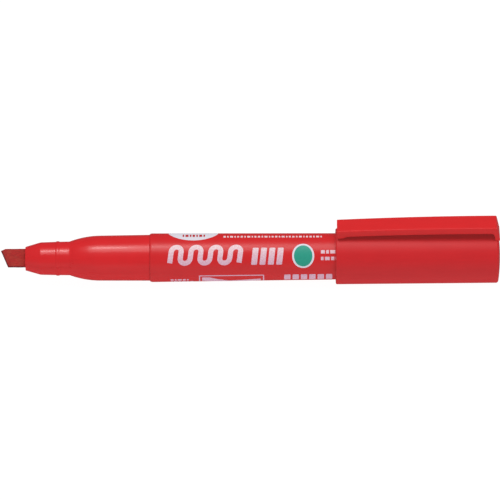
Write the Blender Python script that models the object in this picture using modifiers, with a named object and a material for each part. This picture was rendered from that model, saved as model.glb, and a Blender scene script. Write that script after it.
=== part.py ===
"""Felt tip marker with a chisel nib, its cap pushed onto the tail.

Metres. +X runs along the barrel's axis from the nib to the tail, +Z points to the clip, and the origin is on that
axis at the middle of the marker's volume. A station is a distance along the axis, measured back from the nib's point.
"""

import math

import bmesh
import bpy
from mathutils import Vector

# Where things sit along the axis
NIB_POINT_X = -0.0843
NOSE_START = 0.0074
NOSE_CONE_END = 0.0119
BEAD_START = 0.0165
SHOULDER_START = 0.0206
SHOULDER_END = 0.0300
BARREL_START = 0.0445
PLUG_END = 0.0525
LABEL_START = 0.0449
LABEL_END = 0.1210
BARREL_END = 0.1295
RESERVOIR_START = 0.0363
RESERVOIR_END = 0.1258
CAP_START = 0.1004
CAP_EDGE_END = 0.14905
CAP_END = 0.1497
CLIP_START = 0.1008

# Nib
NIB_WIDTH = 0.00554
NIB_THICKNESS = 0.0034
NIB_LENGTH = 0.0440
NIB_SLANT_RUN = 0.00213
NIB_POINT_DROP = 0.0006
NIB_POINT_FACET = 0.00144
NIB_BEVEL_RUN = 0.0013
NIB_EDGE_THICKNESS = 0.0014
NIB_TAIL_RUN = 0.0040
NIB_TAIL_THICKNESS = 0.0008
NIB_EDGE_ROUND = 0.00035
NIB_TURN = math.radians(36.5)
NIB_CLEARANCE = 0.0001

# Front section
NOSE_FACE_RADIUS = 0.00355
NOSE_CONE_RADIUS = 0.00486
NOSE_RADIUS = 0.00502
BEAD_RADIUS = 0.00518
BEAD_RUN = 0.0009
NOSE_REAR_RADIUS = 0.00506
GRIP_FRONT_RADIUS = 0.00675
GRIP_REAR_RADIUS = 0.00688
NOSE_BORE_START = 0.0125
NOSE_BORE_RADIUS = 0.00385
PLUG_RADIUS = 0.00613
SOCKET_RADIUS = 0.00558
NIB_RIB_THICKNESS = 0.0008
NIB_RIB_SPACING = 0.0026
NIB_RIB_END = 0.0280

# Barrel and label
LABEL_FRONT_RADIUS = 0.00731
BARREL_DRAFT = 0.00655
FILM_GAP = 0.00003
LABEL_THICKNESS = 0.00007
PLUG_CLEARANCE = 0.00008
SNAP_STATION = 0.0492
SNAP_RUN = 0.0018
SNAP_RISE = 0.00018
BARREL_WALL = 0.00112
END_WALL = 0.0012
END_RIB_HEIGHT = 0.0022
END_RIB_THICKNESS = 0.0010
END_RIB_COUNT = 4

# Ink reservoir
RESERVOIR_RADIUS = 0.00532
WRAP_THICKNESS = 0.00012

# Cap
CAP_MOUTH_RADIUS = 0.00839
CAP_END_RADIUS = 0.00832
CAP_BORE_RADIUS = 0.00735
CAP_BORE_END_RADIUS = 0.00725
CAP_DISC_RADIUS = 0.0025
CAP_RIB_COUNT = 6
CAP_RIB_INNER_RADIUS = 0.00703
CAP_RIB_THICKNESS = 0.0007
CAP_RIB_START = 0.1034
CAP_RIB_END = 0.1275

# Inner cap
LINER_START = 0.1299
LINER_WALL = 0.0009
LINER_RADIUS = 0.0062
LINER_RIM_RADIUS = 0.00713
LINER_LIP_RADIUS = 0.00495
LINER_GAP = 0.0002

# Clip
CLIP_FRONT_WIDTH = 0.0064
CLIP_ROOT_WIDTH = 0.0069
CLIP_FRONT_TOP = 0.01124
CLIP_ROOT_TOP = 0.01221
CLIP_BOW = 0.00027
CLIP_BOW_STEPS = 4
CLIP_THICKNESS = 0.00187
CLIP_FOOT_RUN = 0.0032
CLIP_FOOT_GAP = 0.00025
CLIP_SPLIT = 0.1480
SPLIT_GAP = 0.0003
CLIP_ROOT_END = 0.1495
CLIP_BACK_END = 0.1490
CLIP_BACK_TOP = 0.0106
CLIP_TOP_END = 0.14845
CLIP_EDGE_ROUND = 0.0003

TURNED_STEPS = 48
CLEARANCE = 0.0001

RED = (0.62, 0.022, 0.030)
INK_RED = (0.36, 0.032, 0.035)
FIBRE_RED = (0.45, 0.05, 0.05)
MILKY = (0.80, 0.78, 0.76)
CLEAR_FILM = (0.75, 0.78, 0.80)


def clear_scene():
    for thing in list(bpy.data.objects):
        bpy.data.objects.remove(thing, do_unlink=True)


def new_collection(name):
    made = bpy.data.collections.new(name)
    bpy.context.scene.collection.children.link(made)
    return made


def material(name, colour, roughness):
    made = bpy.data.materials.new(name)
    made.use_nodes = True
    shader = made.node_tree.nodes["Principled BSDF"]
    shader.inputs["Base Color"].default_value = (*colour, 1)
    shader.inputs["Roughness"].default_value = roughness
    shader.inputs["Metallic"].default_value = 0
    return made


def move_to(collection, thing):
    for owner in list(thing.users_collection):
        owner.objects.unlink(thing)
    collection.objects.link(thing)


def corner_points(before, corner, after, radius, steps=4):
    """A corner of an outline, turned into points along an arc of that radius."""
    back = (before - corner).normalized()
    ahead = (after - corner).normalized()
    half = back.angle(ahead) / 2
    reach = radius / math.tan(half)
    start = corner + back * reach
    end = corner + ahead * reach
    centre = corner + (back + ahead).normalized() * (radius / math.sin(half))
    first = start - centre
    turn = first.angle_signed(end - centre)
    points = []
    for step in range(steps + 1):
        angle = turn * step / steps
        arm = Vector(
            (
                first.x * math.cos(angle) + first.y * math.sin(angle),
                first.y * math.cos(angle) - first.x * math.sin(angle),
            )
        )
        points.append(centre + arm)
    return points


def rounded(outline):
    """(station, radius, fillet) points as 2D vectors, each corner that has a fillet turned into an arc."""
    corners = [Vector(point[:2]) for point in outline]
    points = []
    for index, point in enumerate(outline):
        if len(point) < 3:
            points.append(corners[index])
        else:
            after = corners[(index + 1) % len(corners)]
            points += corner_points(corners[index - 1], corners[index], after, point[2])
    return points


def turned(name, outline, skin, closed=True):
    """A piece turned about the axis: outline is (station, radius, optional fillet) points, closed or axis to axis."""
    points = rounded(outline)
    loop = points + points[:1]
    area = sum(a.x * b.y - b.x * a.y for a, b in zip(loop, loop[1:]))
    if area < 0:
        points.reverse()
    mesh = bpy.data.meshes.new(name)
    edges = [(i, i + 1) for i in range(len(points) - 1)]
    if closed:
        edges.append((len(points) - 1, 0))
    mesh.from_pydata([(radius, 0, station) for station, radius in points], edges, [])
    mesh.materials.append(skin)
    made = bpy.data.objects.new(name, mesh)
    PARTS.objects.link(made)
    made.location.x = NIB_POINT_X
    made.rotation_euler.y = math.radians(90)
    screw = made.modifiers.new("Turn", "SCREW")
    screw.axis = "Z"
    screw.steps = TURNED_STEPS
    screw.render_steps = TURNED_STEPS
    screw.use_merge_vertices = True
    screw.merge_threshold = 0.00001
    screw.use_smooth_shade = True
    return made


def box(name, low, high, collection):
    """A box between two corners, with its origin left at its parent's."""
    bpy.ops.mesh.primitive_cube_add(size=1)
    made = bpy.context.object
    made.name = name
    sides = Vector(high) - Vector(low)
    middle = (Vector(high) + Vector(low)) / 2
    for vertex in made.data.vertices:
        vertex.co = Vector(vertex.co) * sides + middle
    move_to(collection, made)
    return made


def as_cutter(thing):
    thing.hide_render = True
    thing.display_type = "WIRE"
    return thing


def join_or_cut(target, helpers, operation):
    for helper in helpers:
        as_cutter(helper)
        boolean = target.modifiers.new(helper.name, "BOOLEAN")
        boolean.operation = operation
        boolean.object = helper


def flat_outline(name, outline, width, collection):
    """A flat outline in the XZ plane, as thick along Y as width, made into a closed mesh."""
    curve = bpy.data.curves.new(name, "CURVE")
    curve.dimensions = "2D"
    curve.fill_mode = "BOTH"
    curve.extrude = width / 2
    points = rounded(outline)
    spline = curve.splines.new("POLY")
    spline.points.add(len(points) - 1)
    spline.use_cyclic_u = True
    for target, (station, height) in zip(spline.points, points):
        target.co = (NIB_POINT_X + station, height, 0, 1)
    drawn = bpy.data.objects.new(name + "_outline", curve)
    collection.objects.link(drawn)
    drawn.rotation_euler.x = math.radians(90)
    bpy.context.view_layer.update()
    evaluated = drawn.evaluated_get(bpy.context.evaluated_depsgraph_get())
    mesh = bpy.data.meshes.new_from_object(evaluated)
    mesh.transform(drawn.matrix_world)
    shape = bmesh.new()
    shape.from_mesh(mesh)
    bmesh.ops.remove_doubles(shape, verts=shape.verts, dist=0.000001)
    bmesh.ops.recalc_face_normals(shape, faces=shape.faces)
    shape.to_mesh(mesh)
    shape.free()
    bpy.data.objects.remove(drawn)
    made = bpy.data.objects.new(name, mesh)
    collection.objects.link(made)
    return made


def shave(shape, point, normal):
    """Cuts away the side of a closed mesh that normal points to, and closes the cut."""
    everything = list(shape.verts) + list(shape.edges) + list(shape.faces)
    bmesh.ops.bisect_plane(shape, geom=everything, plane_co=point, plane_no=normal, clear_outer=True)
    rim = [edge for edge in shape.edges if edge.is_boundary]
    bmesh.ops.holes_fill(shape, edges=rim)


def label_radius(station):
    """Outside of the label, which follows the barrel's draft."""
    return LABEL_FRONT_RADIUS - BARREL_DRAFT * (station - BARREL_START)


def barrel_radius(station):
    return label_radius(station) - LABEL_THICKNESS - FILM_GAP


def nib_frame():
    """The nib's flats are turned about the axis from the clip, because the cap goes on at any angle."""
    frame = bpy.data.objects.new("nib_frame", None)
    PARTS.objects.link(frame)
    frame.location.x = NIB_POINT_X
    frame.rotation_euler.x = -NIB_TURN
    return frame


def nib_blank(name, low, high, grow, collection):
    """The nib's cross-section, grown all round, between two stations."""
    half_thickness = NIB_THICKNESS / 2 + grow
    half_width = NIB_WIDTH / 2 + grow
    blank = box(name, (low, -half_thickness, -half_width), (high, half_thickness, half_width), collection)
    blank.parent = FRAME
    return blank


def make_nib(skin):
    nib = nib_blank("nib", 0, NIB_LENGTH, 0, PARTS)
    nib.data.materials.append(skin)
    top = NIB_WIDTH / 2
    point = Vector((0, 0, top - NIB_POINT_DROP))
    heel = Vector((NIB_SLANT_RUN, 0, -top))
    along = (point - heel).normalized()
    outward = Vector((-along.z, 0, along.x))
    shape = bmesh.new()
    shape.from_mesh(nib.data)
    shave(shape, point, outward)
    shave(shape, point, Vector((-NIB_POINT_DROP, 0, NIB_POINT_FACET)))
    for side in (-1, 1):
        rise = (NIB_THICKNESS - NIB_EDGE_THICKNESS) / 2
        edge = point + Vector((0, side * NIB_EDGE_THICKNESS / 2, 0))
        shave(shape, edge, outward * rise + Vector((0, side * NIB_BEVEL_RUN, 0)))
        tail_rise = (NIB_THICKNESS - NIB_TAIL_THICKNESS) / 2
        tail = Vector((NIB_LENGTH, side * NIB_TAIL_THICKNESS / 2, 0))
        shave(shape, tail, Vector((tail_rise, side * NIB_TAIL_RUN, 0)))
    shape.to_mesh(nib.data)
    shape.free()
    bevel = nib.modifiers.new("Round edges", "BEVEL")
    bevel.width = NIB_EDGE_ROUND
    bevel.segments = 2
    bevel.limit_method = "ANGLE"
    bevel.angle_limit = math.radians(25)


def shoulder_points(steps=7):
    """The shoulder is one circle that runs smoothly into the grip and stops short at the nose."""
    rise = GRIP_FRONT_RADIUS - NOSE_REAR_RADIUS
    run = SHOULDER_END - SHOULDER_START
    turn = 2 * math.atan2(rise, run)
    radius = run / math.sin(turn)
    points = []
    for step in range(steps + 1):
        angle = turn * (1 - step / steps)
        drop = radius * (1 - math.cos(angle))
        points.append((SHOULDER_END - radius * math.sin(angle), GRIP_FRONT_RADIUS - drop))
    return points


def snap_ring(radius):
    """A raised ring on a plug, or the groove that it clicks into."""
    return [
        (SNAP_STATION + SNAP_RUN / 2, radius),
        (SNAP_STATION + SNAP_RUN / 4, radius + SNAP_RISE),
        (SNAP_STATION - SNAP_RUN / 4, radius + SNAP_RISE),
        (SNAP_STATION - SNAP_RUN / 2, radius),
    ]


def nib_ribs():
    """Six ribs inside the nose grip the nib and leave air channels between them."""
    ribs = []
    reach = NOSE_BORE_RADIUS + CLEARANCE
    half_thickness = NIB_THICKNESS / 2 + NIB_CLEARANCE
    half_width = NIB_WIDTH / 2 + NIB_CLEARANCE
    front = NOSE_BORE_START - CLEARANCE
    half = NIB_RIB_THICKNESS / 2
    for side in (-1, 1):
        for offset in (-NIB_RIB_SPACING / 2, NIB_RIB_SPACING / 2):
            near, far = sorted((side * half_thickness, side * reach))
            low = (front, near, offset - half)
            high = (NIB_RIB_END, far, offset + half)
            ribs.append(box(f"nib_rib_{len(ribs)}", low, high, HELPERS))
        near, far = sorted((side * half_width, side * reach))
        ribs.append(box(f"nib_rib_{len(ribs)}", (front, -half, near), (NIB_RIB_END, half, far), HELPERS))
    for rib in ribs:
        rib.parent = FRAME
    return ribs


def make_front_section(skin):
    plug_step = BARREL_START - CLEARANCE
    outside = [
        (NOSE_START, 0),
        (NOSE_START, NOSE_FACE_RADIUS, 0.0001),
        (NOSE_CONE_END, NOSE_CONE_RADIUS, 0.0016),
        (BEAD_START, NOSE_RADIUS),
        (BEAD_START + BEAD_RUN / 3, BEAD_RADIUS),
        (BEAD_START + BEAD_RUN, BEAD_RADIUS),
        *shoulder_points(),
        (plug_step, GRIP_REAR_RADIUS, 0.00012),
        (plug_step, PLUG_RADIUS),
        *reversed(snap_ring(PLUG_RADIUS)),
        (PLUG_END, PLUG_RADIUS, 0.0002),
    ]
    inside = [
        (PLUG_END, SOCKET_RADIUS),
        (RESERVOIR_START - 3 * CLEARANCE, SOCKET_RADIUS),
        (RESERVOIR_START - 3 * CLEARANCE, NOSE_BORE_RADIUS + 0.0008),
        (NIB_RIB_END + 0.0010, NOSE_BORE_RADIUS),
        (NOSE_BORE_START, NOSE_BORE_RADIUS),
        (NOSE_BORE_START, 0),
    ]
    section = turned("front_section", outside + inside, skin, closed=False)
    slot = nib_blank("nib_slot", 0, NOSE_BORE_START + 0.001, NIB_CLEARANCE, HELPERS)
    bevel = slot.modifiers.new("Round edges", "BEVEL")
    bevel.width = NIB_EDGE_ROUND
    bevel.segments = 2
    join_or_cut(section, nib_ribs(), "UNION")
    join_or_cut(section, [slot], "DIFFERENCE")


def make_barrel(skin):
    inner_end = BARREL_END - END_WALL
    mouth_radius = PLUG_RADIUS + PLUG_CLEARANCE
    socket_end = PLUG_END + 3 * CLEARANCE
    outside = [
        (BARREL_END, 0),
        (BARREL_END, barrel_radius(BARREL_END), 0.0007),
        (BARREL_START, barrel_radius(BARREL_START), 0.00012),
    ]
    inside = [
        (BARREL_START, mouth_radius),
        *reversed(snap_ring(mouth_radius)),
        (socket_end, mouth_radius),
        (socket_end, barrel_radius(socket_end) - BARREL_WALL),
        (inner_end, barrel_radius(inner_end) - BARREL_WALL, 0.0005),
        (inner_end, 0),
    ]
    barrel = turned("barrel", outside + inside, skin, closed=False)
    ribs = []
    reach = barrel_radius(inner_end) - BARREL_WALL / 2
    low = inner_end - END_RIB_HEIGHT
    half = END_RIB_THICKNESS / 2
    for index in range(END_RIB_COUNT):
        rib = box(f"end_rib_{index}", (low, -half, reach / 3), (BARREL_END - END_WALL / 2, half, reach), HELPERS)
        rib.location.x = NIB_POINT_X
        rib.rotation_euler.x = 2 * math.pi * (index + 0.5) / END_RIB_COUNT
        ribs.append(rib)
    join_or_cut(barrel, ribs, "UNION")


def make_label(skin):
    inner_start = label_radius(LABEL_START) - LABEL_THICKNESS
    inner_end = label_radius(LABEL_END) - LABEL_THICKNESS
    outline = [
        (LABEL_END, label_radius(LABEL_END)),
        (LABEL_START, label_radius(LABEL_START)),
        (LABEL_START, inner_start),
        (LABEL_END, inner_end),
    ]
    turned("label_sleeve", outline, skin)


def make_reservoir(fibre, film):
    outline = [
        (RESERVOIR_END, 0),
        (RESERVOIR_END, RESERVOIR_RADIUS),
        (RESERVOIR_START, RESERVOIR_RADIUS),
        (RESERVOIR_START, 0),
    ]
    reservoir = turned("ink_reservoir", outline, fibre, closed=False)
    pocket = nib_blank("nib_pocket", 0, NIB_LENGTH + NIB_CLEARANCE, NIB_CLEARANCE, HELPERS)
    join_or_cut(reservoir, [pocket], "DIFFERENCE")
    inner = RESERVOIR_RADIUS + FILM_GAP
    outer = inner + WRAP_THICKNESS
    wrap = [
        (RESERVOIR_END, outer),
        (RESERVOIR_START, outer),
        (RESERVOIR_START, inner),
        (RESERVOIR_END, inner),
    ]
    turned("reservoir_film", wrap, film)


def clip_top(share):
    """Height of the clip's outer face, which rises and bows out a little from its free end to its root."""
    straight = CLIP_FRONT_TOP + (CLIP_ROOT_TOP - CLIP_FRONT_TOP) * share
    return straight + 4 * CLIP_BOW * share * (1 - share)


def clip_line(drop, first=0):
    """The bowed line of the clip's face, lowered by drop, as flats from its free end to its root."""
    points = []
    for step in range(first, CLIP_BOW_STEPS + 1):
        share = step / CLIP_BOW_STEPS
        points.append((CLIP_START + (CLIP_SPLIT - SPLIT_GAP - CLIP_START) * share, clip_top(share) - drop))
    return points


def cap_radius(station):
    share = (station - CAP_START) / (CAP_EDGE_END - CAP_START)
    return CAP_MOUTH_RADIUS + (CAP_END_RADIUS - CAP_MOUTH_RADIUS) * share


def narrow_to_front(bar):
    """The clip is narrower at its free end than at its root."""
    for vertex in bar.data.vertices:
        share = (vertex.co.x - NIB_POINT_X - CLIP_START) / (CLIP_SPLIT - CLIP_START)
        width = CLIP_FRONT_WIDTH + (CLIP_ROOT_WIDTH - CLIP_FRONT_WIDTH) * min(1, share)
        vertex.co.y *= width / CLIP_ROOT_WIDTH


def round_clip_edges(bar):
    bevel = bar.modifiers.new("Round edges", "BEVEL")
    bevel.width = CLIP_EDGE_ROUND
    bevel.segments = 2
    bevel.limit_method = "ANGLE"
    bevel.angle_limit = math.radians(50)


def make_clip(skin):
    """The clip's bar, on its own pivot just in front of its root block."""
    foot_end = CLIP_START + CLIP_FOOT_RUN
    foot_bottom = cap_radius(CLIP_START) + CLIP_FOOT_GAP
    foot_flat = CLIP_START + CLIP_FOOT_RUN * 0.45
    foot_share = CLIP_FOOT_RUN / (CLIP_SPLIT - CLIP_START)
    outline = [
        *reversed(clip_line(0)),
        (CLIP_START, foot_bottom, 0.0003),
        (foot_flat, foot_bottom, 0.0008),
        (foot_end, clip_top(foot_share) - CLIP_THICKNESS),
        *clip_line(CLIP_THICKNESS, first=1),
    ]
    clip = flat_outline("clip", outline, CLIP_ROOT_WIDTH, PARTS)
    clip.data.materials.append(skin)
    narrow_to_front(clip)
    round_clip_edges(clip)
    pivot = Vector((NIB_POINT_X + CLIP_SPLIT, 0, CLIP_ROOT_TOP - CLIP_THICKNESS / 2))
    for vertex in clip.data.vertices:
        vertex.co -= pivot
    clip.location = pivot


def clip_root_block():
    """The post that joins the clip to the closed end of the cap, its end face curving back to the clip."""
    sunk = cap_radius(CLIP_SPLIT) - 0.0009
    outline = [
        (CLIP_SPLIT, CLIP_ROOT_TOP),
        (CLIP_SPLIT, sunk),
        (CAP_EDGE_END - 0.0003, sunk),
        (CLIP_ROOT_END, sunk + 0.0005),
        (CLIP_BACK_END, CLIP_BACK_TOP),
        (CLIP_TOP_END, CLIP_ROOT_TOP, 0.0003),
    ]
    return flat_outline("clip_root", outline, CLIP_ROOT_WIDTH, HELPERS)


def cap_ribs():
    """Ribs in the cap's bore that hold the barrel."""
    ribs = []
    half = CAP_RIB_THICKNESS / 2
    outer = CAP_BORE_RADIUS + 0.0004
    for index in range(CAP_RIB_COUNT):
        low = (CAP_RIB_START, -half, CAP_RIB_INNER_RADIUS)
        rib = box(f"cap_rib_{index}", low, (CAP_RIB_END, half, outer), HELPERS)
        rib.location.x = NIB_POINT_X
        rib.rotation_euler.x = 2 * math.pi * (index + 0.5) / CAP_RIB_COUNT
        ribs.append(rib)
    return ribs


def dome_points(steps=5):
    """The closed end is a shallow dome with a flat disc in the middle."""
    rise = CAP_END - CAP_EDGE_END
    drop_radius = (CAP_END_RADIUS**2 - CAP_DISC_RADIUS**2) / (2 * rise)
    points = []
    for step in range(steps):
        radius = CAP_DISC_RADIUS + (CAP_END_RADIUS - CAP_DISC_RADIUS) * step / steps
        drop = (radius**2 - CAP_DISC_RADIUS**2) / (2 * drop_radius)
        points.append((CAP_END - drop, radius))
    return points


def make_cap(skin):
    bore_end = CAP_EDGE_END - END_WALL
    outline = [
        (CAP_END, 0),
        *dome_points(),
        (CAP_EDGE_END, CAP_END_RADIUS, 0.0007),
        (CAP_START, CAP_MOUTH_RADIUS, 0.00035),
        (CAP_START, CAP_BORE_RADIUS + 0.0002),
        (CAP_START + 0.0005, CAP_BORE_RADIUS),
        (bore_end, CAP_BORE_END_RADIUS, 0.0005),
        (bore_end, 0),
    ]
    cap = turned("cap", outline, skin, closed=False)
    join_or_cut(cap, [clip_root_block(), *cap_ribs()], "UNION")


def make_inner_cap(skin):
    """The liner that seals on the nose when the cap is on the front."""
    end = CAP_EDGE_END - END_WALL - LINER_GAP
    inner = LINER_RADIUS - LINER_WALL
    outline = [
        (end, 0),
        (end, LINER_RADIUS, 0.0005),
        (LINER_START + 0.0014, LINER_RADIUS),
        (LINER_START + 0.0014, LINER_RIM_RADIUS),
        (LINER_START, LINER_RIM_RADIUS, 0.0002),
        (LINER_START, inner),
        (LINER_START + 0.0006, LINER_LIP_RADIUS),
        (LINER_START + 0.0012, LINER_LIP_RADIUS),
        (LINER_START + 0.0020, inner),
        (end - LINER_WALL, inner, 0.0006),
        (end - LINER_WALL, 0),
    ]
    turned("inner_cap", outline, skin, closed=False)


clear_scene()
PARTS = new_collection("felt_tip_marker")
HELPERS = new_collection("cutters_and_ribs")
FRAME = nib_frame()

red_plastic = material("red_plastic", RED, 0.32)
make_nib(material("felt", INK_RED, 0.9))
make_front_section(red_plastic)
make_barrel(red_plastic)
make_label(material("label_film", RED, 0.4))
make_reservoir(material("fibre", FIBRE_RED, 0.95), material("clear_film", CLEAR_FILM, 0.2))
make_cap(red_plastic)
make_clip(red_plastic)
make_inner_cap(material("milky_plastic", MILKY, 0.45))
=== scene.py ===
"""Looks of the felt tip marker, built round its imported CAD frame.

Metres, in the CAD frame: +X from the nib to the cap's closed end, +Z towards the clip.
"""

import math

import bmesh
import bpy
from mathutils import Matrix, Vector, noise


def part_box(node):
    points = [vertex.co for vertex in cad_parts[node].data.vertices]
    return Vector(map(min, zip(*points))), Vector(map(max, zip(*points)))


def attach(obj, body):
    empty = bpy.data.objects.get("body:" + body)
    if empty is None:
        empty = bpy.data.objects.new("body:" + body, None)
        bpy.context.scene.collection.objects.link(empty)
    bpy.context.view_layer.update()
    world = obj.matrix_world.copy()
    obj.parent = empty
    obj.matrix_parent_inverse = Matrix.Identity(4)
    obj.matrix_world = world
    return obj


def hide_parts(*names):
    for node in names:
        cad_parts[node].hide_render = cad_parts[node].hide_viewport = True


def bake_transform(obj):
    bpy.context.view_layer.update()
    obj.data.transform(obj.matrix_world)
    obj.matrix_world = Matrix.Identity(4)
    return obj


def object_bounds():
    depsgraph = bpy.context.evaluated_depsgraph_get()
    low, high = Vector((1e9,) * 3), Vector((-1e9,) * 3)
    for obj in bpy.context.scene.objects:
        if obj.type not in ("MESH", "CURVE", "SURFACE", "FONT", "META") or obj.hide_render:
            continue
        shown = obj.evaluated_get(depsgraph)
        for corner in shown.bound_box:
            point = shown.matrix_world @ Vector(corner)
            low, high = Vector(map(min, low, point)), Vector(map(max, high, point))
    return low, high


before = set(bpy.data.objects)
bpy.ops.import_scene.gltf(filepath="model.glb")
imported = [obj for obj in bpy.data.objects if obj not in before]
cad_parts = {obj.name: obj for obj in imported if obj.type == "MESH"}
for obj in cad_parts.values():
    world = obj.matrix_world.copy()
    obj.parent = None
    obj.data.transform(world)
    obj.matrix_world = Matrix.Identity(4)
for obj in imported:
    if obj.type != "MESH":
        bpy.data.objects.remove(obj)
CAD_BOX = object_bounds()

MM = 0.001
VIEW_ELEVATION = math.radians(35.0)
VIEW_NORMAL = Vector((0, -math.cos(VIEW_ELEVATION), math.sin(VIEW_ELEVATION)))
VIEW_UP = Vector((0, math.sin(VIEW_ELEVATION), math.cos(VIEW_ELEVATION)))
TURN_STEPS = 128
SHARP_ANGLE = math.radians(32)
MERGE_DISTANCE = 1e-7


# ---------------------------------------------------------------- positions from the frame

BARREL_SETBACK = 0.22 * MM
CAP_END_SETBACK = 0.1 * MM
BARREL_DRAFT = 0.00655
DIP_DEPTH = 0.15 * MM
DIP_RUN = 0.8 * MM

NIB_LOW, NIB_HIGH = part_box("nib")
SECTION_LOW, SECTION_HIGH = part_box("front_section")
BARREL_LOW, BARREL_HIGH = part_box("barrel")
LABEL_LOW, LABEL_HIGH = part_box("label_sleeve")
CAP_LOW, CAP_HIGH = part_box("cap")
CLIP_LOW, CLIP_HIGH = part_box("clip")
LINER_LOW, LINER_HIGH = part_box("inner_cap")

NIB_X = NIB_LOW[0]
NOSE_X = SECTION_LOW[0]
BARREL_X = BARREL_LOW[0] + BARREL_SETBACK
BARREL_END_X = BARREL_HIGH[0]
BARREL_R = BARREL_HIGH[1]
LABEL_R = LABEL_HIGH[1]
CAP_X = CAP_LOW[0]
CAP_END_X = CAP_HIGH[0] - CAP_END_SETBACK
CAP_R = CAP_HIGH[1]


def front_dip(x):
    """The barrel's front end draws in softly towards the grip."""
    share = max(0, 1 - (x - BARREL_X) / DIP_RUN)
    return DIP_DEPTH * share * share


def label_radius(x):
    """Outside of the label film, which follows the barrel's draft and its drawn-in front end."""
    return LABEL_R - BARREL_DRAFT * (x - LABEL_LOW[0]) - front_dip(x)


def at(station_mm):
    """World x of a station measured in millimetres back from the nib's point."""
    return NIB_X + station_mm * MM


# ---------------------------------------------------------------- nodes and materials


def new_material(name):
    made = bpy.data.materials.new(name)
    made.use_nodes = True
    tree = made.node_tree
    return made, tree, tree.nodes["Principled BSDF"]


def srgb(r, g, b):
    """Linear colour of an 8-bit display colour."""

    def one(value):
        value /= 255
        return value / 12.92 if value <= 0.04045 else ((value + 0.055) / 1.055) ** 2.4

    return (one(r), one(g), one(b), 1)


def math_node(tree, operation, a, b):
    node = tree.nodes.new("ShaderNodeMath")
    node.operation = operation
    for socket, value in zip(node.inputs, (a, b)):
        if isinstance(value, (int, float)):
            socket.default_value = value
        else:
            tree.links.new(value, socket)
    return node.outputs[0]


def noise_node(tree, scale, detail=2, roughness=0.5, stretch=None):
    """Noise in object space. stretch scales each axis, so a small number makes streaks along it."""
    place = tree.nodes.new("ShaderNodeTexCoord").outputs["Object"]
    if stretch:
        mapping = tree.nodes.new("ShaderNodeMapping")
        mapping.inputs["Scale"].default_value = stretch
        tree.links.new(place, mapping.inputs["Vector"])
        place = mapping.outputs["Vector"]
    made = tree.nodes.new("ShaderNodeTexNoise")
    made.inputs["Scale"].default_value = scale
    made.inputs["Detail"].default_value = detail
    made.inputs["Roughness"].default_value = roughness
    tree.links.new(place, made.inputs["Vector"])
    return made.outputs["Fac"]


def remap(tree, value, low, high, start=0.0, end=1.0):
    """The value's stretch from start to end, spread from low to high."""
    node = tree.nodes.new("ShaderNodeMapRange")
    node.inputs["From Min"].default_value = start
    node.inputs["From Max"].default_value = end
    node.inputs["To Min"].default_value = low
    node.inputs["To Max"].default_value = high
    tree.links.new(value, node.inputs["Value"])
    return node.outputs["Result"]


def mix_colours(tree, share, a, b):
    node = tree.nodes.new("ShaderNodeMix")
    node.data_type = "RGBA"
    for socket, value in ((node.inputs["Factor"], share), (node.inputs["A"], a), (node.inputs["B"], b)):
        if hasattr(value, "is_linked"):
            tree.links.new(value, socket)
        else:
            socket.default_value = value
    return node.outputs["Result"]


def add_bump(tree, shader, height, strength, distance):
    bump = tree.nodes.new("ShaderNodeBump")
    bump.inputs["Strength"].default_value = strength
    bump.inputs["Distance"].default_value = distance
    tree.links.new(height, bump.inputs["Height"])
    tree.links.new(bump.outputs["Normal"], shader.inputs["Normal"])


def moulded_plastic(
    name, colour, roughness, coat=0.0, coat_roughness=0.1, specular=0.3, peel=0.006, painted_glow=0.019, tint=0.4
):
    """Moulded plastic with uneven pigment, streaks along the barrel and a faint orange peel.

    The emission is painted light: an even glow that lifts the shade, most of all in the shadow under the
    clip; tint is how much of the pigment's colour it takes.
    """
    made, tree, shader = new_material(name)
    pigment = noise_node(tree, 260, 3)
    streaks = noise_node(tree, 900, 3, stretch=(0.05, 1, 1))
    darker = tuple(0.90 * part for part in colour[:3]) + (1,)
    lighter = tuple(min(1, 1.07 * part) for part in colour[:3]) + (1,)
    broad = math_node(tree, "MULTIPLY", pigment, 0.6)
    fine = math_node(tree, "MULTIPLY", streaks, 0.4)
    share = math_node(tree, "ADD", broad, fine)
    tree.links.new(mix_colours(tree, share, darker, lighter), shader.inputs["Base Color"])
    spread = 0.03
    sheen = remap(tree, streaks, roughness - spread, roughness + spread, 0.3, 0.7)
    tree.links.new(sheen, shader.inputs["Roughness"])
    shader.inputs["Specular IOR Level"].default_value = specular
    shader.inputs["Coat Weight"].default_value = coat
    shader.inputs["Coat Roughness"].default_value = coat_roughness
    # Painted light: an even emission, partly in the pigment's colour, that lifts the shade everywhere.
    painted_glow_colour = tuple(1 - tint + tint * part for part in colour[:3]) + (1,)
    shader.inputs["Emission Color"].default_value = painted_glow_colour
    shader.inputs["Emission Strength"].default_value = painted_glow
    add_bump(tree, shader, noise_node(tree, 700, 2), peel, 0.1 * MM)
    return made


def up_the_label(tree):
    """0 to 1 up the label's front, between two distances above the axis along VIEW_UP."""
    place = tree.nodes.new("ShaderNodeTexCoord").outputs["Object"]
    dot = tree.nodes.new("ShaderNodeVectorMath")
    dot.operation = "DOT_PRODUCT"
    tree.links.new(place, dot.inputs[0])
    dot.inputs[1].default_value = VIEW_UP
    return remap(tree, dot.outputs["Value"], 0, 1, -2.4 * MM, 3.2 * MM)


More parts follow.
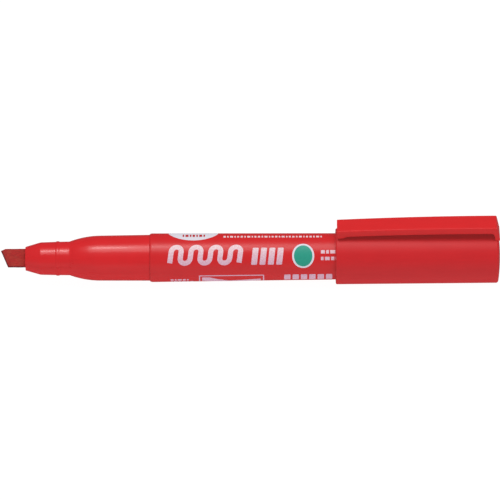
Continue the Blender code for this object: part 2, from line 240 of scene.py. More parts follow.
def ink_print(name, colour, painted_shade_colour=None):
    """Screen-printed ink with a fine tooth.

    When a lower colour is given, the ink turns to it further down the label as painted shade, and the cover
    is also patchy and lets the red through.
    """
    made, tree, shader = new_material(name)
    cover = noise_node(tree, 2600, 3)
    # Painted shade: the ink darkens from the top of the label's front down to its lower colour.
    full = mix_colours(tree, up_the_label(tree), painted_shade_colour or colour, colour)
    if painted_shade_colour:
        full = mix_colours(tree, remap(tree, cover, 0.3, 0, 0.35, 0.65), full, srgb(206, 60, 70))
    tree.links.new(full, shader.inputs["Base Color"])
    tree.links.new(remap(tree, cover, 0.39, 0.53, 0.3, 0.7), shader.inputs["Roughness"])
    shader.inputs["Specular IOR Level"].default_value = 0.3
    add_bump(tree, shader, cover, 0.1, 0.02 * MM)
    return made


def felt(name):
    """Compressed felt soaked in ink: fibres along the nib, with painted shade along its long edges,
    stronger on the lower one, and darker along its slanted edge.
    """
    made, tree, shader = new_material(name)
    fibres = noise_node(tree, 5200, 4, 0.65, stretch=(0.12, 1, 1))
    patches = noise_node(tree, 620, 3)
    edge = tree.nodes.new("ShaderNodeAttribute")
    edge.attribute_name = "edge"
    body = mix_colours(tree, remap(tree, fibres, 0, 1, 0.3, 0.7), srgb(152, 36, 38), srgb(198, 54, 50))
    body = mix_colours(tree, remap(tree, patches, 0, 0.5, 0.45, 0.7), body, srgb(166, 70, 56))
    # The edge attribute mixes in the dark colour: painted shade along the long edges, and a darker band
    # along the slanted edge.
    whole = mix_colours(tree, edge.outputs["Fac"], body, srgb(104, 24, 32))
    tree.links.new(whole, shader.inputs["Base Color"])
    tree.links.new(remap(tree, fibres, 0.75, 0.98, 0.3, 0.7), shader.inputs["Roughness"])
    shader.inputs["Specular IOR Level"].default_value = 0.15
    shader.inputs["Sheen Weight"].default_value = 0.05
    shader.inputs["Sheen Roughness"].default_value = 0.6
    add_bump(tree, shader, fibres, 0.6, 0.06 * MM)
    return made


def wadding(name):
    """Ink-soaked fibre of the reservoir: bundled strands along the barrel."""
    made, tree, shader = new_material(name)
    strands = noise_node(tree, 2400, 4, 0.6, stretch=(0.03, 1, 1))
    soaked = mix_colours(tree, strands, srgb(120, 26, 32), srgb(196, 70, 74))
    tree.links.new(soaked, shader.inputs["Base Color"])
    tree.links.new(remap(tree, strands, 0.8, 1), shader.inputs["Roughness"])
    add_bump(tree, shader, strands, 0.5, 0.1 * MM)
    return made


RED_SECTION = moulded_plastic(
    "red_glossy", srgb(220, 18, 26), 0.30, coat=0.27, coat_roughness=0.15, peel=0.002
)
RED_BARREL = moulded_plastic("red_barrel", srgb(214, 15, 23), 0.36, coat=0.15, coat_roughness=0.2)
RED_LABEL = moulded_plastic(
    "red_label", srgb(214, 15, 23), 0.36, coat=0.145, coat_roughness=0.21, peel=0.01
)
# The cap and the clip glow more than the rest, as painted light that lifts the shadow under the clip.
RED_CAP = moulded_plastic("red_cap", srgb(204, 15, 24), 0.42, specular=0.21, painted_glow=0.044, tint=0.7)
# The clip is the cap's own plastic; its brighter red is painted light on its upward face, and its stronger
# glow is painted light in the shadow under it.
RED_CLIP_PAINTED_LIT = moulded_plastic(
    "red_clip_painted_lit", srgb(216, 13, 19), 0.44, coat=0.12, coat_roughness=0.2, specular=0.18, painted_glow=0.055, tint=0.74
)
MILKY = moulded_plastic("milky_liner", srgb(222, 216, 206), 0.42, specular=0.5, painted_glow=0)
WHITE_INK = ink_print("white_ink", srgb(244, 222, 228), painted_shade_colour=srgb(222, 186, 208))
GREEN_INK = ink_print("green_ink", srgb(44, 158, 136))
PALE_INK = ink_print("pale_ink", srgb(226, 222, 232))
RED_INK = ink_print("red_ink", srgb(196, 40, 44))
FELT = felt("ink_felt")
WADDING = wadding("ink_wadding")
FILM = moulded_plastic("film", srgb(214, 214, 218), 0.2, coat=0.3, specular=0.5, painted_glow=0)


# ---------------------------------------------------------------- shapes


def to_object(name, shape, material):
    """A closed mesh object from a bmesh, smooth apart from its real corners."""
    bmesh.ops.remove_doubles(shape, verts=shape.verts, dist=MERGE_DISTANCE)
    bmesh.ops.recalc_face_normals(shape, faces=shape.faces)
    mesh = bpy.data.meshes.new(name)
    shape.to_mesh(mesh)
    shape.free()
    mesh.materials.append(material)
    made = bpy.data.objects.new(name, mesh)
    bpy.context.scene.collection.objects.link(made)
    shade(mesh)
    return made


def shade(mesh):
    mesh.shade_smooth()
    mesh.set_sharp_from_angle(angle=SHARP_ANGLE)


def fillet(before, corner, after, radius, steps):
    """The points of an arc that rounds a corner of an outline."""
    back = (before - corner).normalized()
    ahead = (after - corner).normalized()
    half = back.angle(ahead) / 2
    reach = radius / math.tan(half)
    start, end = corner + back * reach, corner + ahead * reach
    centre = corner + (back + ahead).normalized() * (radius / math.sin(half))
    first = start - centre
    turn = first.angle_signed(end - centre)
    points = []
    for step in range(steps + 1):
        angle = turn * step / steps
        c, s = math.cos(angle), math.sin(angle)
        points.append(centre + Vector((first.x * c + first.y * s, first.y * c - first.x * s)))
    return points


def smooth_outline(outline, steps=6):
    """(x, y, optional fillet radius) corners as points, each filleted corner an arc."""
    corners = [Vector(point[:2]) for point in outline]
    points = []
    for index, point in enumerate(outline):
        if len(point) < 3:
            points.append(corners[index])
        else:
            after = corners[(index + 1) % len(corners)]
            points += fillet(corners[index - 1], corners[index], after, point[2], steps)
    return points


def turned(name, profile, material, closed=False):
    """A solid turned about the axis. profile is (x, radius, optional fillet) points.

    They run from one end of the axis to the other, or round a loop if it is closed.
    """
    shape = bmesh.new()
    rings = []
    for x, radius in smooth_outline(profile):
        if radius < MERGE_DISTANCE:
            rings.append([shape.verts.new((x, 0, 0))])
            continue
        ring = []
        for step in range(TURN_STEPS):
            angle = 2 * math.pi * step / TURN_STEPS
            ring.append(shape.verts.new((x, -radius * math.sin(angle), radius * math.cos(angle))))
        rings.append(ring)
    pairs = list(zip(rings, rings[1:]))
    if closed:
        pairs.append((rings[-1], rings[0]))
    for a, b in pairs:
        for i in range(TURN_STEPS):
            j = (i + 1) % TURN_STEPS
            if len(a) == 1:
                shape.faces.new((a[0], b[i], b[j]))
            elif len(b) == 1:
                shape.faces.new((a[i], b[0], a[j]))
            else:
                shape.faces.new((a[i], b[i], b[j], a[j]))
    return to_object(name, shape, material)


def round_edges(shape, edges, radius, segments):
    bmesh.ops.bevel(shape, geom=edges, offset=radius, segments=segments, profile=0.5, affect="EDGES")


def box(low, high):
    """A bmesh box between two corners."""
    shape = bmesh.new()
    bmesh.ops.create_cube(shape, size=1)
    low, high = Vector(low), Vector(high)
    for vertex in shape.verts:
        vertex.co = (low + high) / 2 + vertex.co * (high - low)
    return shape


def rounded_box(low, high, radius, segments):
    shape = box(low, high)
    round_edges(shape, list(shape.edges), radius, segments)
    return shape


def evaluated_mesh(thing):
    """A copy of what an object's modifiers, or its curve settings, make of it."""
    bpy.context.view_layer.update()
    evaluated = thing.evaluated_get(bpy.context.evaluated_depsgraph_get())
    return bpy.data.meshes.new_from_object(evaluated)


def bake(thing):
    """Replaces an object's mesh with what its modifiers make of it."""
    mesh = evaluated_mesh(thing)
    thing.modifiers.clear()
    thing.data = mesh


def boolean(target, cutter, operation):
    """Joins or cuts target with cutter for good, and removes the cutter."""
    modifier = target.modifiers.new("Boolean", "BOOLEAN")
    modifier.operation = operation
    modifier.object = cutter
    bake(target)
    shade(target.data)
    bpy.data.objects.remove(cutter)


def bisect(shape, point, normal, **options):
    everything = list(shape.verts) + list(shape.edges) + list(shape.faces)
    bmesh.ops.bisect_plane(shape, geom=everything, plane_co=point, plane_no=normal, **options)


def shave(shape, point, normal):
    """Cuts away the side of a closed mesh that normal points to, and closes the cut."""
    bisect(shape, point, normal, clear_outer=True)
    rim = [edge for edge in shape.edges if edge.is_boundary]
    bmesh.ops.holes_fill(shape, edges=rim)


def smooth_share(share):
    """0 to 1 with a soft start and a soft end."""
    share = max(0, min(1, share))
    return share * share * (3 - 2 * share)


def place_piece(piece, body, node=None):
    """Lets a piece ride on a body, in place of a CAD node if it is given."""
    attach(piece, body)
    if node:
        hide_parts(node)


# ---------------------------------------------------------------- nib

NIB_WIDTH = 5.54 * MM
NIB_THICKNESS = 3.4 * MM
SLANT_RUN = 2.13 * MM
POINT_DROP = 0.6 * MM
POINT_FACET = 1.44 * MM
BEVEL_RUN = 1.3 * MM
EDGE_THICKNESS = 1.4 * MM
NIB_EDGE_ROUND = 0.1 * MM
NIB_VOXEL = 0.09 * MM
FIBRE_HEIGHT = 0.03 * MM
FIBRE_SINK = 0.015 * MM
DARK_BAND = 0.4 * MM
DARK_BAND_INSET = 0.55 * MM
# The rim values paint shade along the nib's long edges, weaker on the upper one.
DARK_RIM_START = 0.84
DARK_RIM_RUN = 0.12
UPPER_RIM_DARKNESS = 0.25
STRAND_SCALE = Vector((500, 4200, 4200))
LUMP_SCALE = Vector((420, 700, 700))
NIB_RISE = 0.18 * MM
NIB_TURN = Matrix.Rotation(math.radians(-36.5), 4, "X") @ Matrix.Translation((0, 0, NIB_RISE))
NIB_FRAME = Matrix.Translation((NIB_X, 0, 0)) @ NIB_TURN


def nib_chisel(point, outward):
    """The nib before it is felted: a bar cut to a slanted edge, bevelled on both sides."""
    length = NIB_HIGH[0] - NIB_LOW[0]
    half_width, half_thickness = NIB_WIDTH / 2, NIB_THICKNESS / 2
    shape = box((0, -half_thickness, -half_width), (length, half_thickness, half_width))
    shave(shape, point, outward)
    shave(shape, point, Vector((-POINT_DROP, 0, POINT_FACET)))
    for side in (-1, 1):
        rise = (NIB_THICKNESS - EDGE_THICKNESS) / 2
        edge = point + Vector((0, side * EDGE_THICKNESS / 2, 0))
        shave(shape, edge, outward * rise + Vector((0, side * BEVEL_RUN, 0)))
    round_edges(shape, list(shape.edges), NIB_EDGE_ROUND, 2)
    return to_object("nib_felt", shape, FELT)


def build_nib():
    """The chisel is remeshed fine enough to carry its fibres as shape."""
    point = Vector((0, 0, NIB_WIDTH / 2 - POINT_DROP))
    heel = Vector((SLANT_RUN, 0, -NIB_WIDTH / 2))
    along = (point - heel).normalized()
    outward = Vector((-along.z, 0, along.x))
    nib = nib_chisel(point, outward)
    remesh = nib.modifiers.new("Remesh", "REMESH")
    remesh.mode = "VOXEL"
    remesh.voxel_size = NIB_VOXEL
    soften = nib.modifiers.new("Soften", "SMOOTH")
    soften.iterations = 2
    soften.factor = 0.5
    bake(nib)
    mesh = nib.data
    darkness = mesh.attributes.new("edge", "FLOAT", "POINT")
    normals = [vertex.normal.copy() for vertex in mesh.vertices]
    for index, vertex in enumerate(mesh.vertices):
        place = vertex.co.copy()
        # Painted shade along the long edges, a quarter as dark on the upper one, and a dark band along the
        # slanted edge, kept in the edge attribute.
        across = abs(place.z) / (NIB_WIDTH / 2)
        rim = max(0, min(1, (across - DARK_RIM_START) / DARK_RIM_RUN))
        rim *= UPPER_RIM_DARKNESS if place.z > 0 else 1
        slant = (place - point).dot(outward.normalized())
        front = max(0, min(1, (slant + DARK_BAND_INSET) / DARK_BAND))
        darkness.data[index].value = max(rim, front)
        strands = noise.fractal(place * STRAND_SCALE, 0.8, 2.1, 4)
        lumps = noise.noise(place * LUMP_SCALE)
        vertex.co = place + normals[index] * (FIBRE_HEIGHT * strands + FIBRE_HEIGHT * lumps - FIBRE_SINK)
    mesh.transform(NIB_FRAME)
    mesh.shade_smooth()
    place_piece(nib, "marker", "nib")


# ---------------------------------------------------------------- front section and barrel


NOSE_FACE_R = 3.55 * MM
NOSE_R = 4.86 * MM
BEAD_R = 5.175 * MM
NOSE_BORE_R = 3.85 * MM
SHOULDER_START = 20.6 * MM
SHOULDER_END = 30.0 * MM
SHOULDER_LOW_R = 5.06 * MM
SHOULDER_HIGH_R = 6.75 * MM
SHOULDER_STEPS = 14
GRIP_REAR_R = 6.88 * MM
GRIP_GAP = 0.03 * MM
PLUG_R = 6.13 * MM
SOCKET_R = 5.58 * MM
SOCKET_END_X = at(36.0)
SLOT_GAP = 0.1 * MM
SLOT_DEPTH = 13.5 * MM
BARREL_MOUTH_R = 6.22 * MM
BARREL_MOUTH_END_X = at(53.0)
BARREL_WALL = 1.12 * MM
BARREL_END_WALL = 1.2 * MM
LABEL_THICKNESS = 0.07 * MM
LABEL_EDGE_ROUND = 0.03 * MM
FRONT_RINGS = [BARREL_X + 0.1 * MM * step for step in range(1, 9)]
LABEL_FIRST_RING = 5


def shoulder():
    """The shoulder is one circle that runs smoothly into the grip and stops short at the nose."""
    run = SHOULDER_END - SHOULDER_START
    turn = 2 * math.atan2(SHOULDER_HIGH_R - SHOULDER_LOW_R, run)
    radius = run / math.sin(turn)
    points = []
    for step in range(SHOULDER_STEPS + 1):
        angle = turn * (1 - step / SHOULDER_STEPS)
        x = NIB_X + SHOULDER_END - radius * math.sin(angle)
        points.append((x, SHOULDER_HIGH_R - radius * (1 - math.cos(angle))))
    return points


def cut_nib_slot(section):
    half_width, half_thickness = NIB_WIDTH / 2 + SLOT_GAP, NIB_THICKNESS / 2 + SLOT_GAP
    low, high = (-MM, -half_thickness, -half_width), (SLOT_DEPTH, half_thickness, half_width)
    slot = rounded_box(low, high, 0.35 * MM, 3)
    bmesh.ops.transform(slot, matrix=NIB_FRAME, verts=slot.verts)
    boolean(section, to_object("nib_slot", slot, RED_SECTION), "DIFFERENCE")


def build_section():
    """Nose, sealing bead, shoulder and grip in one glossy moulding, bored for the nib."""
    rear_x = BARREL_X - GRIP_GAP
    bead = [
        (at(16.45), 5.0 * MM, 0.1 * MM),
        (at(16.85), BEAD_R, 0.12 * MM),
        (at(17.3), BEAD_R, 0.12 * MM),
        (at(17.75), 5.02 * MM, 0.1 * MM),
    ]
    profile = [
        (NOSE_X, 0),
        (NOSE_X, NOSE_FACE_R, 0.12 * MM),
        (at(11.9), NOSE_R, 2.2 * MM),
        *bead,
        (at(18.1), 5.025 * MM),
        (at(20.4), 5.055 * MM),
        *shoulder(),
        (rear_x, GRIP_REAR_R, 0.06 * MM),
        (rear_x, PLUG_R),
        (SECTION_HIGH[0], PLUG_R, 0.2 * MM),
        (SECTION_HIGH[0], SOCKET_R),
        (SOCKET_END_X, SOCKET_R),
        (SOCKET_END_X, 4.65 * MM),
        (at(29.0), NOSE_BORE_R),
        (at(12.5), NOSE_BORE_R),
        (at(12.5), 0),
    ]
    section = turned("front_section_moulding", profile, RED_SECTION)
    cut_nib_slot(section)
    place_piece(section, "marker", "front_section")


def barrel_radius(x):
    return BARREL_R - BARREL_DRAFT * (x - BARREL_X) - front_dip(x)


def build_barrel():
    """The tube, with a sunk gate mark in its closed end."""
    end_x = BARREL_END_X
    inner_x = end_x - BARREL_END_WALL
    gate_mark = [
        (end_x - 0.35 * MM, 0),
        (end_x - 0.35 * MM, 0.7 * MM),
        (end_x - 0.12 * MM, 0.8 * MM),
        (end_x - 0.28 * MM, 1.0 * MM),
        (end_x - 0.28 * MM, 2.0 * MM),
    ]
    profile = [
        *gate_mark,
        (end_x, 2.3 * MM, 0.1 * MM),
        (end_x, barrel_radius(end_x), 0.7 * MM),
        *[(x, barrel_radius(x)) for x in FRONT_RINGS[::-1]],
        (BARREL_X, barrel_radius(BARREL_X), 0.08 * MM),
        (BARREL_X, BARREL_MOUTH_R),
        (BARREL_MOUTH_END_X, BARREL_MOUTH_R),
        (BARREL_MOUTH_END_X, barrel_radius(BARREL_MOUTH_END_X) - BARREL_WALL),
        (inner_x, barrel_radius(inner_x) - BARREL_WALL, 0.5 * MM),
        (inner_x, 0),
    ]
    barrel = turned("barrel_tube", profile, RED_BARREL)
    place_piece(barrel, "marker", "barrel")


def build_label():
    """The film wrapped round the barrel, from just behind its front edge."""
    low, high = LABEL_LOW[0], LABEL_HIGH[0]
    rings = FRONT_RINGS[LABEL_FIRST_RING:]
    profile = [
        (high, label_radius(high), LABEL_EDGE_ROUND),
        *[(x, label_radius(x)) for x in rings[::-1]],
        (low, label_radius(low), LABEL_EDGE_ROUND),
        (low, label_radius(low) - LABEL_THICKNESS),
        *[(x, label_radius(x) - LABEL_THICKNESS) for x in rings],
        (high, label_radius(high) - LABEL_THICKNESS),
    ]
    label = turned("printed_label", profile, RED_LABEL, closed=True)
    place_piece(label, "marker", "label_sleeve")


# ---------------------------------------------------------------- print on the label

PRINT_THICKNESS = 0.03 * MM
PRINT_SINK = 0.012 * MM
PRINT_LEVEL = 0.012 * MM
STRIP = 0.45 * MM


def flat_shape(outlines):
    """Flat outlines (in mm) filled and thickened. An outline inside another one is a hole."""
    curve = bpy.data.curves.new("outline", "CURVE")
    curve.dimensions = "2D"
    curve.fill_mode = "BOTH"
    curve.extrude = PRINT_THICKNESS / 2
    for outline in outlines:
        spline = curve.splines.new("POLY")
        spline.points.add(len(outline) - 1)
        spline.use_cyclic_u = True
        for target, (x, y) in zip(spline.points, outline):
            target.co = (x * MM, y * MM, 0, 1)
    drawn = bpy.data.objects.new("outline", curve)
    bpy.context.scene.collection.objects.link(drawn)
    shape = bmesh.new()
    shape.from_mesh(evaluated_mesh(drawn))
    bpy.data.objects.remove(drawn)
    bmesh.ops.remove_doubles(shape, verts=shape.verts, dist=MERGE_DISTANCE)
    return shape


def printed(name, outlines, ink, level=0):
    """Flat outlines (station, arc height, in mm) wrapped onto the label as a thin closed layer of ink.

    The arc height is zero on the line that faces the lens. level lifts ink that lies on other ink.
    """
    shape = flat_shape(outlines)
    low = min(vertex.co.y for vertex in shape.verts)
    high = max(vertex.co.y for vertex in shape.verts)
    line = math.ceil(low / STRIP) * STRIP
    while line < high:
        bisect(shape, (0, line, 0), (0, 1, 0), dist=MERGE_DISTANCE)
        line += STRIP
    lift = PRINT_THICKNESS / 2 - PRINT_SINK + level * PRINT_LEVEL
    for vertex in shape.verts:
        x = NIB_X + vertex.co.x
        angle = vertex.co.y / LABEL_R
        radius = label_radius(x) + lift + vertex.co.z
        normal = VIEW_NORMAL * math.cos(angle) + VIEW_UP * math.sin(angle)
        vertex.co = Vector((x, 0, 0)) + normal * radius
    place_piece(to_object(name, shape, ink), "marker")


def ellipse(x, y, half_x, half_y, steps=64):
    turns = [2 * math.pi * i / steps for i in range(steps)]
    return [(x + half_x * math.cos(turn), y + half_y * math.sin(turn)) for turn in turns]


def rounded_patch(corners):
    """An outline from (x, y, fillet radius) corners."""
    return [tuple(point) for point in smooth_outline(corners, 4)]


def bar(low_x, low_y, high_x, high_y, radius, lean=0.0):
    """A bar with rounded corners. lean shifts its top along the barrel."""
    radius = min(radius, abs(high_x - low_x) * 0.45, abs(high_y - low_y) * 0.45)
    corners = [
        (low_x, low_y, radius),
        (high_x, low_y, radius),
        (high_x + lean, high_y, radius),
        (low_x + lean, high_y, radius),
    ]
    return rounded_patch(corners)


def ribbon(path, half_width):
    """A stroke of even width along a path of points."""
    left, right = [], []
    for index, place in enumerate(path):
        before = path[max(0, index - 1)]
        after = path[min(len(path) - 1, index + 1)]
        along = Vector((after[0] - before[0], after[1] - before[1])).normalized()
        side = Vector((-along.y, along.x))
        left.append((place[0] + side.x * half_width, place[1] + side.y * half_width))
        right.append((place[0] - side.x * half_width, place[1] - side.y * half_width))
    return left + right[::-1]


def dashes(low_x, high_x, low_y, high_y, lengths, gap):
    """A row of small bars, as many as fit, whose lengths repeat."""
    outlines, x, index = [], low_x, 0
    while True:
        length = lengths[index % len(lengths)]
        if x + length > high_x:
            return outlines
        outlines.append(bar(x, low_y, x + length, high_y, 0.08))
        x += length + gap
        index += 1


def wave_stroke():
    """One broad stroke that winds evenly up and down along the barrel, leaning a little."""
    start, spacing, bends, low, high, foot = 50.95, 2.96, 7, -0.3, 1.75, -1.7
    half_width, lean = 0.76, 0.14
    reach = spacing / 2
    turn = [math.pi * step / 14 for step in range(15)]
    path = [(0, foot)]
    for index in range(bends):
        centre = (index + 0.5) * spacing
        level, way = (low, -1) if index % 2 else (high, 1)
        path += [(centre - reach * math.cos(a), level + way * reach * math.sin(a)) for a in turn]
    path.append((bends * spacing, foot))
    return ribbon([(start + x + lean * y, y) for x, y in path], half_width)


def print_upper_rows():
    printed("print_oval", [ellipse(57.8, 10.1, 7.4, 4.4)], PALE_INK)
    ticks = dashes(54.6, 61.4, 7.4, 8.9, (0.45, 0.9, 0.45, 0.7), 0.4)
    printed("print_oval_ticks", ticks, RED_INK, level=1)
    top_row = dashes(66.8, 97.0, 7.0, 7.95, (0.7, 0.45, 0.9, 0.4, 0.6), 0.42)
    printed("print_top_dashes", top_row, WHITE_INK)


def print_middle_rows():
    printed("print_stroke", [wave_stroke()], WHITE_INK)
    bars = [bar(x, -2.45, x + 1.75, 2.9, 0.25, 0.6) for x in (75.0, 77.5, 80.0, 82.5)]
    printed("print_bars", bars, WHITE_INK)
    disc = ellipse(90.6, 0.25, 2.75, 3.4)
    printed("print_disc", [disc], GREEN_INK)
    printed("print_ring", [ellipse(90.6, 0.25, 3.3, 3.95), disc], PALE_INK)
    upper = dashes(95.9, 112, 0.9, 2.0, (1.2, 0.8, 1.5), 0.4)
    lower = dashes(95.9, 112, -1.2, -0.1, (0.8, 1.4, 1.0), 0.4)
    printed("print_side_dashes", upper + lower, WHITE_INK)


def print_lower_rows():
    upper = dashes(50.9, 57.8, -9.1, -8.1, (0.9, 0.5, 1.2), 0.35)
    lower = dashes(50.9, 57.8, -10.8, -9.8, (0.6, 1.1), 0.35)
    printed("print_low_dashes", upper + lower, WHITE_INK)
    frame_lines = [bar(59.4, -14.7, 78.9, -6.2, 0.3), bar(59.75, -14.35, 78.55, -6.6, 0.25)]
    printed("print_panel", frame_lines, WHITE_INK)
    band = [(60.3, -7.2), (62.6, -7.2), (68.4, -9.9), (77.9, -8.4)]
    band += [(77.9, -10.2), (68.4, -12.4), (60.3, -9.8)]
    printed("print_panel_band", [rounded_patch([(*corner, 0.25) for corner in band])], WHITE_INK)
    blocks = [bar(x, -9.6, x + 1.9, -6.25, 0.3) for x in (84.9, 87.4, 89.9, 92.4, 94.9, 97.4)]
    printed("print_blocks", blocks, WHITE_INK)


# ---------------------------------------------------------------- cap, clip and liner

CAP_DRAFT = 0.07 * MM
CAP_END_R = CAP_R - CAP_DRAFT
CAP_DOME_RISE = 0.6 * MM
CAP_DOME_STEPS = 12
CAP_DISC_R = 2.5 * MM
CAP_END_WALL = 1.2 * MM
CAP_MOUTH_R = 7.35 * MM
CAP_BORE_END_R = 7.25 * MM
CAP_RIB_COUNT = 6
CAP_RIB_START_X = at(103.4)
CAP_RIB_END_X = at(127.5)
CAP_RIB_HALF_THICKNESS = 0.35 * MM
CAP_RIB_LOW_R = 7.03 * MM
CAP_RIB_HIGH_R = 7.75 * MM
SPLIT_X = CLIP_HIGH[0] + 0.3 * MM
CLIP_X = CLIP_LOW[0]
CLIP_BACK_X = CAP_END_X - 0.1 * MM
CLIP_BACK_LEAN = 1.05 * MM
CLIP_THICKNESS = 2.17 * MM
CLIP_FRONT_TOP = 11.32 * MM
CLIP_TOP_RISE = 0.88 * MM
CLIP_BOW = 1.08 * MM
CLIP_FRONT_HALF_WIDTH = 3.3 * MM
CLIP_WIDENING = 0.23 * MM
CLIP_FOOT_GAP = 0.25 * MM
CLIP_FOOT_RUN = 1.2 * MM
CLIP_FOOT_SLOPE = 2.2 * MM
CLIP_NOSE_ROUND = 0.3 * MM
CLIP_CROWN = 0.05 * MM
CLIP_EDGE_ROUND = 0.42 * MM


def cap_radius(x):
    return CAP_R - CAP_DRAFT * (x - CAP_X) / (CAP_END_X - CAP_X)


def cap_dome():
    """The closed end rises as part of a sphere from its rim to the flat disc in its middle."""
    double_dome_r = (CAP_END_R**2 - CAP_DISC_R**2) / CAP_DOME_RISE
    points = []
    for step in range(CAP_DOME_STEPS):
        radius = CAP_DISC_R + (CAP_END_R - CAP_DISC_R) * step / CAP_DOME_STEPS
        points.append((CAP_END_X - (radius**2 - CAP_DISC_R**2) / double_dome_r, radius))
    return points


def cap_ribs():
    """The ribs that grip the barrel, spread evenly round the bore."""
    ribs = bmesh.new()
    low = (CAP_RIB_START_X, -CAP_RIB_HALF_THICKNESS, CAP_RIB_LOW_R)
    high = (CAP_RIB_END_X, CAP_RIB_HALF_THICKNESS, CAP_RIB_HIGH_R)
    for index in range(CAP_RIB_COUNT):
        rib = rounded_box(low, high, 0.15 * MM, 2)
        turn = Matrix.Rotation(2 * math.pi * (index + 0.5) / CAP_RIB_COUNT, 4, "X")
        bmesh.ops.transform(rib, matrix=turn, verts=rib.verts)
        piece = bpy.data.meshes.new("rib")
        rib.to_mesh(piece)
        rib.free()
        ribs.from_mesh(piece)
        bpy.data.meshes.remove(piece)
    return to_object("ribs", ribs, RED_CAP)


def build_cap():
    """The cap's cup, ribbed inside, with a sunk gate mark in the middle of its domed end."""
    rim_x = CAP_END_X - CAP_DOME_RISE
    bore_end_x = rim_x - CAP_END_WALL
    gate_mark = [
        (CAP_END_X - 0.30 * MM, 0),
        (CAP_END_X - 0.30 * MM, 0.5 * MM),
        (CAP_END_X - 0.10 * MM, 0.62 * MM),
        (CAP_END_X - 0.22 * MM, 0.9 * MM),
        (CAP_END_X - 0.22 * MM, 1.7 * MM),
    ]
    profile = [
        *gate_mark,
        (CAP_END_X, 1.95 * MM, 0.08 * MM),
        *cap_dome(),
        (rim_x, CAP_END_R, 0.7 * MM),
        (CAP_X, CAP_R, 0.38 * MM),
        (CAP_X, CAP_MOUTH_R + 0.2 * MM, 0.1 * MM),
        (CAP_X + 0.5 * MM, CAP_MOUTH_R),
        (bore_end_x, CAP_BORE_END_R, 0.5 * MM),
        (bore_end_x, 0),
    ]
    cap = turned("cap_shell", profile, RED_CAP)
    boolean(cap, cap_ribs(), "UNION")
    place_piece(cap, "cap", "cap")


def clip_share(x):
    """0 at the clip's free end to 1 at its root."""
    return min(1, (x - CLIP_X) / (SPLIT_X - CLIP_X))


def clip_top(x):
    """The clip's face rises and bows out a little from its free end to its root."""
    share = clip_share(x)
    return CLIP_FRONT_TOP + CLIP_TOP_RISE * share + CLIP_BOW * share * (1 - share)


def clip_half_width(x):
    return CLIP_FRONT_HALF_WIDTH + CLIP_WIDENING * clip_share(x)


def clip_ring(x, lower, upper, half):
    """Cross-section of the clip: a faintly crowned face that breaks over a crease into straight sides."""
    edge = CLIP_EDGE_ROUND
    low_edge = min(0.25 * MM, (upper - lower) * 0.2)
    crease_z = upper - CLIP_CROWN
    face = []
    for step in range(9):
        share = step / 8
        face.append((-(half - edge) + 2 * (half - edge) * share, upper - CLIP_CROWN * (2 * share - 1) ** 2))
    side = []
    for step in range(1, 6):
        angle = math.pi / 2 * step / 5
        side.append((half - edge + edge * math.sin(angle), crease_z - edge * (1 - math.cos(angle))))
    for step in range(4):
        angle = math.pi / 2 * step / 3
        side.append((half - low_edge * (1 - math.cos(angle)), lower + low_edge * (1 - math.sin(angle))))
    far_side = [(-y, z) for y, z in side[::-1]]
    return [(x, y, z) for y, z in face + side + far_side]


def clip_bar_rings():
    """The bar from its free end, with the foot under it, to just in front of its root post."""
    runs = [0, 0.12, 0.3, 0.6, 1.0, 1.44, 1.8, 2.2, 2.6, 2.9, 3.2, 3.6, 4.2]
    runs += [4.2 + 1.9 * step for step in range(1, 22)]
    rings = []
    for run in (value * MM for value in runs):
        x = CLIP_X + run
        upper = clip_top(x)
        foot = CAP_R + CLIP_FOOT_GAP
        share = smooth_share((run - CLIP_FOOT_RUN) / CLIP_FOOT_SLOPE)
        lower = foot + (upper - CLIP_THICKNESS - foot) * share
        lower += 0.8 * max(0, CLIP_NOSE_ROUND - run)
        rings.append(clip_ring(x, lower, upper, clip_half_width(x)))
    return rings


def clip_post_rings():
    """The post at the root, which comes down to the cap and leans forward at its back."""
    post_bottom = cap_radius(SPLIT_X) - 0.75 * MM
    half = clip_half_width(SPLIT_X)
    rings = []
    for offset, share in ((-1.0, 0), (-0.7, 0.04), (-0.45, 0.12), (-0.25, 0.28), (-0.1, 0.55), (0.0, 1.0)):
        x = SPLIT_X + offset * MM
        lower = clip_top(x) - CLIP_THICKNESS
        rings.append(clip_ring(x, lower + (post_bottom - lower) * share, clip_top(x), half))
    cap_top, post_top = cap_radius(SPLIT_X), clip_top(SPLIT_X)
    for lead in (0.3, 0.6, 0.85, 1.0):
        inset = 0.1 * MM if lead == 1.0 else 0
        ring = []
        for _, y, z in clip_ring(0, post_bottom, post_top, half):
            height = max(0, (z - cap_top) / (post_top - cap_top))
            x = SPLIT_X + (CLIP_BACK_X - CLIP_BACK_LEAN * height**1.5 - SPLIT_X) * lead
            ring.append((x, y * (1 - inset / half), z - (inset if height > 0.8 else 0)))
        rings.append(ring)
    return rings


def skin_rings(rings):
    """A closed bmesh through a row of matching rings, and the edges of its first one."""
    shape = bmesh.new()
    made = [[shape.verts.new(place) for place in ring] for ring in rings]
    count = len(made[0])
    for a, b in zip(made, made[1:]):
        for i in range(count):
            j = (i + 1) % count
            shape.faces.new((a[i], a[j], b[j], b[i]))
    shape.faces.new(made[0][::-1])
    shape.faces.new(made[-1])
    first = [edge for edge in shape.edges if all(vertex in made[0] for vertex in edge.verts)]
    return shape, first


def build_clip():
    """Clip and root post as one piece, because they are one moulding with the cap."""
    shape, front_rim = skin_rings(clip_bar_rings() + clip_post_rings())
    round_edges(shape, front_rim, 0.12 * MM, 2)
    clip = to_object("clip_bar", shape, RED_CLIP_PAINTED_LIT)
    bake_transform(clip)
    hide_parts("clip")


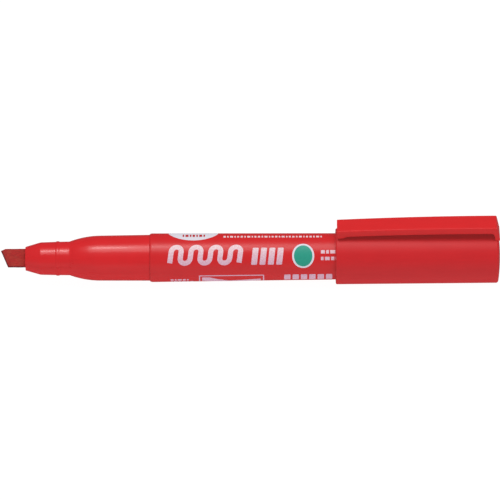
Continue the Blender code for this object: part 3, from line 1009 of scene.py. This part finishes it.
def build_liner():
    """The soft liner at the bottom of the cap, with the lip that seals on the nose."""
    start, end, rim_r = LINER_LOW[0], LINER_HIGH[0], LINER_HIGH[1]
    outer, inner, lip = 6.2 * MM, 5.3 * MM, 4.95 * MM
    rim_end, bottom = start + 1.4 * MM, end - 0.9 * MM
    profile = [
        (end, 0),
        (end, outer, 0.5 * MM),
        (rim_end, outer, 0.2 * MM),
        (rim_end, rim_r, 0.1 * MM),
        (start, rim_r, 0.2 * MM),
        (start, inner, 0.15 * MM),
        (start + 0.6 * MM, lip, 0.2 * MM),
        (start + 1.2 * MM, lip, 0.2 * MM),
        (start + 2.0 * MM, inner, 0.3 * MM),
        (bottom, inner, 0.6 * MM),
        (bottom, 0),
    ]
    liner = turned("seal_liner", profile, MILKY)
    place_piece(liner, "cap", "inner_cap")


def dress_hidden_nodes():
    """The reservoir and its film keep their CAD shape, and get their own materials."""
    for node, skin in (("ink_reservoir", WADDING), ("reservoir_film", FILM)):
        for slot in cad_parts[node].material_slots:
            slot.material = skin


# ---------------------------------------------------------------- stage, light and camera

TABLE_HALF_SIZE = 3
DARK_STUDIO = 0.05
CAMERA_DISTANCE = 1.6
CAMERA_SPAN = 0.150
CAMERA_STATION = 74.73
CAMERA_RISE = 2.09 * MM
CAMERA_ROLL = math.radians(-0.444)


def by_ray(tree, to_lens, to_gloss, to_matt):
    """A brightness that differs for the lens, for reflections and for diffuse light, as black flags do."""
    rays = tree.nodes.new("ShaderNodeLightPath").outputs
    matt_or_gloss = remap(tree, rays["Is Glossy Ray"], to_matt, to_gloss)
    off_lens = math_node(tree, "SUBTRACT", 1, rays["Is Camera Ray"])
    lens = math_node(tree, "MULTIPLY", rays["Is Camera Ray"], to_lens)
    rest = math_node(tree, "MULTIPLY", off_lens, matt_or_gloss)
    return math_node(tree, "ADD", lens, rest)


def build_floor():
    """A lit white table, so that the background stays plain white."""
    shape = bmesh.new()
    bmesh.ops.create_grid(shape, x_segments=1, y_segments=1, size=TABLE_HALF_SIZE)
    made, tree, shader = new_material("white_table")
    shader.inputs["Base Color"].default_value = (0.08, 0.08, 0.08, 1)
    shader.inputs["Roughness"].default_value = 0.9
    shader.inputs["Specular IOR Level"].default_value = 0
    shader.inputs["Emission Color"].default_value = (1, 1, 1, 1)
    light = by_ray(tree, to_lens=0.98, to_gloss=DARK_STUDIO, to_matt=1.02)
    tree.links.new(light, shader.inputs["Emission Strength"])
    floor = to_object("table", shape, made)
    floor.location.z = CAD_BOX[0][2]


def area_light(name, place, target, size_x, size_y, power):
    light = bpy.data.lights.new(name, "AREA")
    light.shape = "RECTANGLE"
    light.size = size_x
    light.size_y = size_y
    light.energy = power
    made = bpy.data.objects.new(name, light)
    made.location = place
    made.rotation_euler = (Vector(target) - Vector(place)).to_track_quat("-Z", "Y").to_euler()
    bpy.context.scene.collection.objects.link(made)


def build_lights():
    """A small strip over the nose and grip, and a large soft box over the whole marker.

    Each reflection starts and stops on the plastic where its light's edges are, so their places matter.
    """
    area_light("key_strip", (-0.10, -0.018, 0.6), (-0.10, 0, 0), 0.14, 0.08, power=0.46)
    area_light("key_halo", (0.07, -0.075, 0.7), (0.07, 0, 0), 0.66, 0.44, power=2.68)
    world = bpy.data.worlds.new("studio")
    bpy.context.scene.world = world
    world.use_nodes = True
    tree = world.node_tree
    background = tree.nodes["Background"]
    background.inputs["Color"].default_value = (1, 1, 1, 1)
    light = by_ray(tree, to_lens=1.0, to_gloss=DARK_STUDIO, to_matt=0.43)
    tree.links.new(light, background.inputs["Strength"])


def build_camera():
    """A long lens square to the marker's side and above it, which frames its whole length."""
    lens = bpy.data.cameras.new("camera")
    lens.sensor_width = 36
    lens.lens = lens.sensor_width * CAMERA_DISTANCE / CAMERA_SPAN
    lens.clip_start = 0.05
    camera = bpy.data.objects.new("camera", lens)
    target = Vector((at(CAMERA_STATION), 0, 0)) + VIEW_UP * CAMERA_RISE
    camera.location = target + VIEW_NORMAL * CAMERA_DISTANCE
    roll = Matrix.Rotation(CAMERA_ROLL, 3, VIEW_NORMAL)
    base = Matrix((Vector((1, 0, 0)), VIEW_UP, VIEW_NORMAL)).transposed()
    camera.rotation_euler = (roll @ base).to_euler()
    bpy.context.scene.collection.objects.link(camera)
    bpy.context.scene.camera = camera


build_nib()
build_section()
build_barrel()
build_label()
print_upper_rows()
print_middle_rows()
print_lower_rows()
build_cap()
build_clip()
build_liner()
dress_hidden_nodes()
build_floor()
build_lights()
build_camera()
bpy.context.scene.view_settings.view_transform = "Standard"
